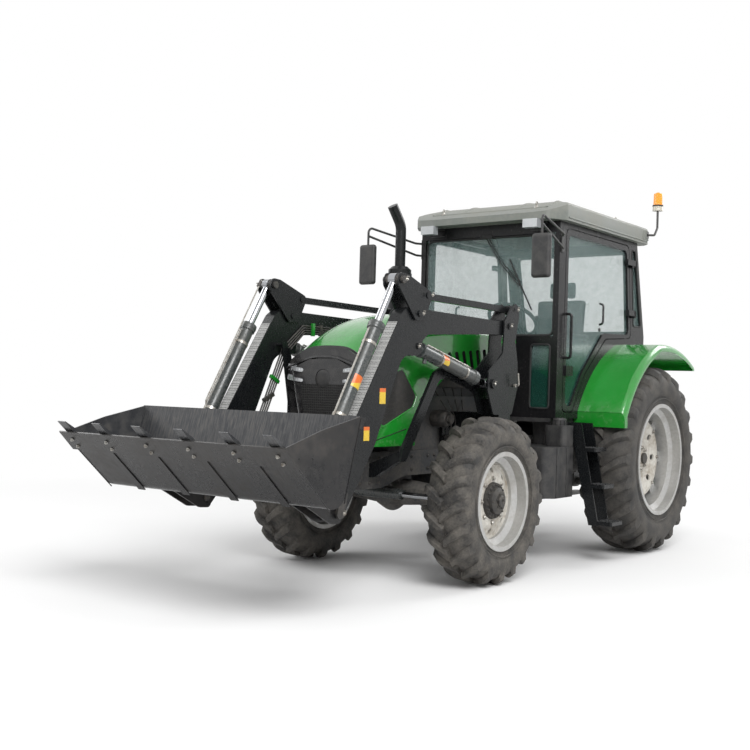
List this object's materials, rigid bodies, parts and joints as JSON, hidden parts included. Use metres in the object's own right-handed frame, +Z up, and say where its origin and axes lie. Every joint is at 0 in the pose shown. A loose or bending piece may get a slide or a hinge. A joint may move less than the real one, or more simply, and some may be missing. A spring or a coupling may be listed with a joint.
{
  "type": "tractor with front loader",
  "caption": "Four wheel drive cab tractor with a self levelling front loader, a toothed bucket, opening doors and bonnet, steering front wheels and a rear linkage.",
  "frame": {"origin": "on the ground, midway along the overall length and on the centre plane", "axes": "+X forward, +Y to the tractor's left, +Z up"},
  "size_m": [5.5497, 2.14, 3.0768],
  "materials": {
    "green_paint": "gloss",
    "black_paint": "satin",
    "chassis_paint": "painted, satin",
    "cylinder_paint": "satin",
    "piston_chrome": "polished",
    "pin_steel": "machined",
    "pipe_steel": "plated",
    "rim_silver": "satin",
    "tyre_rubber": "matte",
    "roof_plastic": "satin",
    "black_plastic": "matte",
    "cab_glass": "clear tinted",
    "seat_cloth": "woven",
    "lamp_lens": "clear",
    "mirror_case": "grained"
  },
  "bodies": {
    "chassis": {"battery_box": "black_plastic", "cab_floor": "black_plastic", "cab_frame": "black_paint", "cab_lights": "lamp_lens", "cab_roof": "roof_plastic", "console": "black_plastic", "drawbar": "chassis_paint", "engine_block": "chassis_paint", "exhaust": "black_paint", "fenders": "green_paint", "front_axle": "chassis_paint", "front_frame": "chassis_paint", "fuel_tank": "black_plastic", "gearbox_housing": "chassis_paint", "loader_frame": "black_paint", "mirrors": "mirror_case", "pto_shaft": "pin_steel", "rear_axle": "chassis_paint", "rear_window": "cab_glass", "seat": "seat_cloth", "side_glass": "cab_glass", "steering_cylinder": "cylinder_paint", "steps": "black_paint", "top_link": "pin_steel", "windscreen": "cab_glass"},
    "bonnet": {"bonnet": "green_paint", "side_screens": "black_plastic", "grille_mask": "black_plastic", "headlights": "lamp_lens"},
    "door_left": {"door_left": "black_paint", "door_glass_left": "cab_glass"},
    "door_right": {"door_right": "black_paint", "door_glass_right": "cab_glass"},
    "rear_wheel_left": {"rear_tyre_left": "tyre_rubber", "rear_rim_left": "rim_silver"},
    "rear_wheel_right": {"rear_tyre_right": "tyre_rubber", "rear_rim_right": "rim_silver"},
    "front_wheel_left": {"front_tyre_left": "tyre_rubber", "front_rim_left": "rim_silver"},
    "front_wheel_right": {"front_tyre_right": "tyre_rubber", "front_rim_right": "rim_silver"},
    "knuckle_left": {"front_knuckle_left": "chassis_paint"},
    "knuckle_right": {"front_knuckle_right": "chassis_paint"},
    "steering_rod": {"steering_rod": "piston_chrome"},
    "loader_arms": {"loader_arms": "black_paint", "loader_pipes": "pipe_steel", "safety_prop": "black_paint"},
    "link_bars": {"link_bars": "black_paint"},
    "knee_levers": {"knee_levers": "black_paint"},
    "tilt_rods": {"tilt_rods": "piston_chrome", "lever_pins": "pin_steel"},
    "tilt_barrels": {"tilt_barrels": "cylinder_paint"},
    "bucket_pins": {"bucket_pins": "pin_steel"},
    "bucket": {"bucket": "black_paint", "bucket_teeth": "black_paint"},
    "lift_barrels": {"lift_barrels": "cylinder_paint"},
    "lift_rods": {"lift_rods": "piston_chrome"},
    "lower_links": {"lower_links": "chassis_paint"},
    "hitch_rods": {"hitch_rods": "chassis_paint"},
    "hitch_arms": {"hitch_arms": "chassis_paint"}
  },
  "joints": [
    {"name": "bonnet_open", "type": "hinge", "parent": "chassis", "child": "bonnet", "pos_m": [-0.49455, 0, 1.778], "axis": [0, -1, 0], "range_deg": [0, 45]},
    {"name": "door_open_left", "type": "hinge", "parent": "chassis", "child": "door_left", "pos_m": [-2.04955, 0.664, 2.2], "axis": [0, 0, 1], "range_deg": [0, 75]},
    {"name": "door_open_right", "type": "hinge", "parent": "chassis", "child": "door_right", "pos_m": [-2.04955, -0.664, 2.2], "axis": [0, 0, -1], "range_deg": [0, 75]},
    {"name": "rear_wheel_turn_left", "type": "hinge", "parent": "chassis", "child": "rear_wheel_left", "pos_m": [-1.79455, 0.84, 0.763], "axis": [0, 1, 0], "continuous": true},
    {"name": "rear_wheel_turn_right", "type": "hinge", "parent": "chassis", "child": "rear_wheel_right", "pos_m": [-1.79455, -0.84, 0.763], "axis": [0, 1, 0], "continuous": true},
    {"name": "steer", "type": "hinge", "parent": "chassis", "child": "knuckle_left", "pos_m": [0.51945, 0.56, 0.558], "axis": [0, 0, 1], "range_deg": [-30, 30]},
    {"name": "steer_right", "type": "hinge", "parent": "chassis", "child": "knuckle_right", "pos_m": [0.51945, -0.56, 0.558], "axis": [0, 0, 1], "range_deg": [-30.5, 30.5]},
    {"name": "steering_rod_slide", "type": "slide", "parent": "chassis", "child": "steering_rod", "axis": [0, 1, 0], "range_m": [-0.09584, 0.09584]},
    {"name": "front_wheel_turn_left", "type": "hinge", "parent": "knuckle_left", "child": "front_wheel_left", "pos_m": [0.51945, 0.754, 0.558], "axis": [0, 1, 0], "continuous": true},
    {"name": "front_wheel_turn_right", "type": "hinge", "parent": "knuckle_right", "child": "front_wheel_right", "pos_m": [0.51945, -0.754, 0.558], "axis": [0, 1, 0], "continuous": true},
    {"name": "arm_lift", "type": "hinge", "parent": "chassis", "child": "loader_arms", "pos_m": [-0.01455, 0, 1.755], "axis": [0, -1, 0], "range_deg": [-11, 58]},
    {"name": "link_bar_turn", "type": "hinge", "parent": "chassis", "child": "link_bars", "pos_m": [-0.10455, 0, 1.879], "axis": [0, -1, 0], "range_deg": [-12.38, 59.38]},
    {"name": "knee_lever_turn", "type": "hinge", "parent": "loader_arms", "child": "knee_levers", "pos_m": [1.12445, 0, 1.766], "axis": [0, -1, 0], "range_deg": [-59.38, 12.38]},
    {"name": "tilt_cylinder_swing", "type": "hinge", "parent": "knee_levers", "child": "tilt_rods", "pos_m": [1.32445, 0, 1.965], "axis": [0, -1, 0], "range_deg": [-13.48, 64.67]},
    {"name": "tilt_cylinder_stroke", "type": "slide", "parent": "tilt_rods", "child": "tilt_barrels", "axis": [0.515, 0, -0.8572], "range_m": [-0.029, 0.35363]},
    {"name": "bucket_level", "type": "hinge", "parent": "loader_arms", "child": "bucket_pins", "pos_m": [1.90545, 0, 0.56], "axis": [0, -1, 0], "range_deg": [-59.38, 12.38]},
    {"name": "bucket_tilt", "type": "hinge", "parent": "bucket_pins", "child": "bucket", "pos_m": [1.90545, 0, 0.56], "axis": [0, -1, 0], "range_deg": [-80, 5]},
    {"name": "lift_cylinder_swing", "type": "hinge", "parent": "loader_arms", "child": "lift_barrels", "pos_m": [1.10545, 0, 1.56], "axis": [0, -1, 0], "range_deg": [-4.16, 0.87]},
    {"name": "lift_cylinder_stroke", "type": "slide", "parent": "lift_barrels", "child": "lift_rods", "axis": [-0.9713, 0, -0.238], "range_m": [-0.09723, 0.46637]},
    {"name": "hitch_lift", "type": "hinge", "parent": "chassis", "child": "lower_links", "pos_m": [-1.94455, 0, 0.52], "axis": [0, 1, 0], "range_deg": [-8, 20]},
    {"name": "hitch_arm_turn", "type": "hinge", "parent": "chassis", "child": "hitch_arms", "pos_m": [-2.02455, 0, 0.9], "axis": [0, 1, 0], "range_deg": [-8.56, 20.56]},
    {"name": "hitch_rod_turn", "type": "hinge", "parent": "lower_links", "child": "hitch_rods", "pos_m": [-2.35455, 0, 0.525], "axis": [0, 1, 0], "range_deg": [-20.56, 8.56]}
  ],
  "couplings": [
    {"joint": "steer_right", "follows": "steer", "ratio": 1},
    {"joint": "steering_rod_slide", "follows": "steer", "m_per_rad": 0.176},
    {"joint": "link_bar_turn", "follows": "arm_lift", "ratio": 1},
    {"joint": "knee_lever_turn", "follows": "arm_lift", "ratio": -1},
    {"joint": "tilt_cylinder_swing", "follows": "arm_lift", "ratio": 1.089},
    {"joint": "bucket_level", "follows": "arm_lift", "ratio": -1},
    {"joint": "tilt_cylinder_stroke", "follows": "bucket_tilt", "m_per_rad": -0.248},
    {"joint": "lift_cylinder_swing", "follows": "arm_lift", "ratio": -0.07},
    {"joint": "lift_cylinder_stroke", "follows": "arm_lift", "m_per_rad": 0.45},
    {"joint": "hitch_arm_turn", "follows": "hitch_lift", "ratio": 1},
    {"joint": "hitch_rod_turn", "follows": "hitch_lift", "ratio": -1}
  ]
}
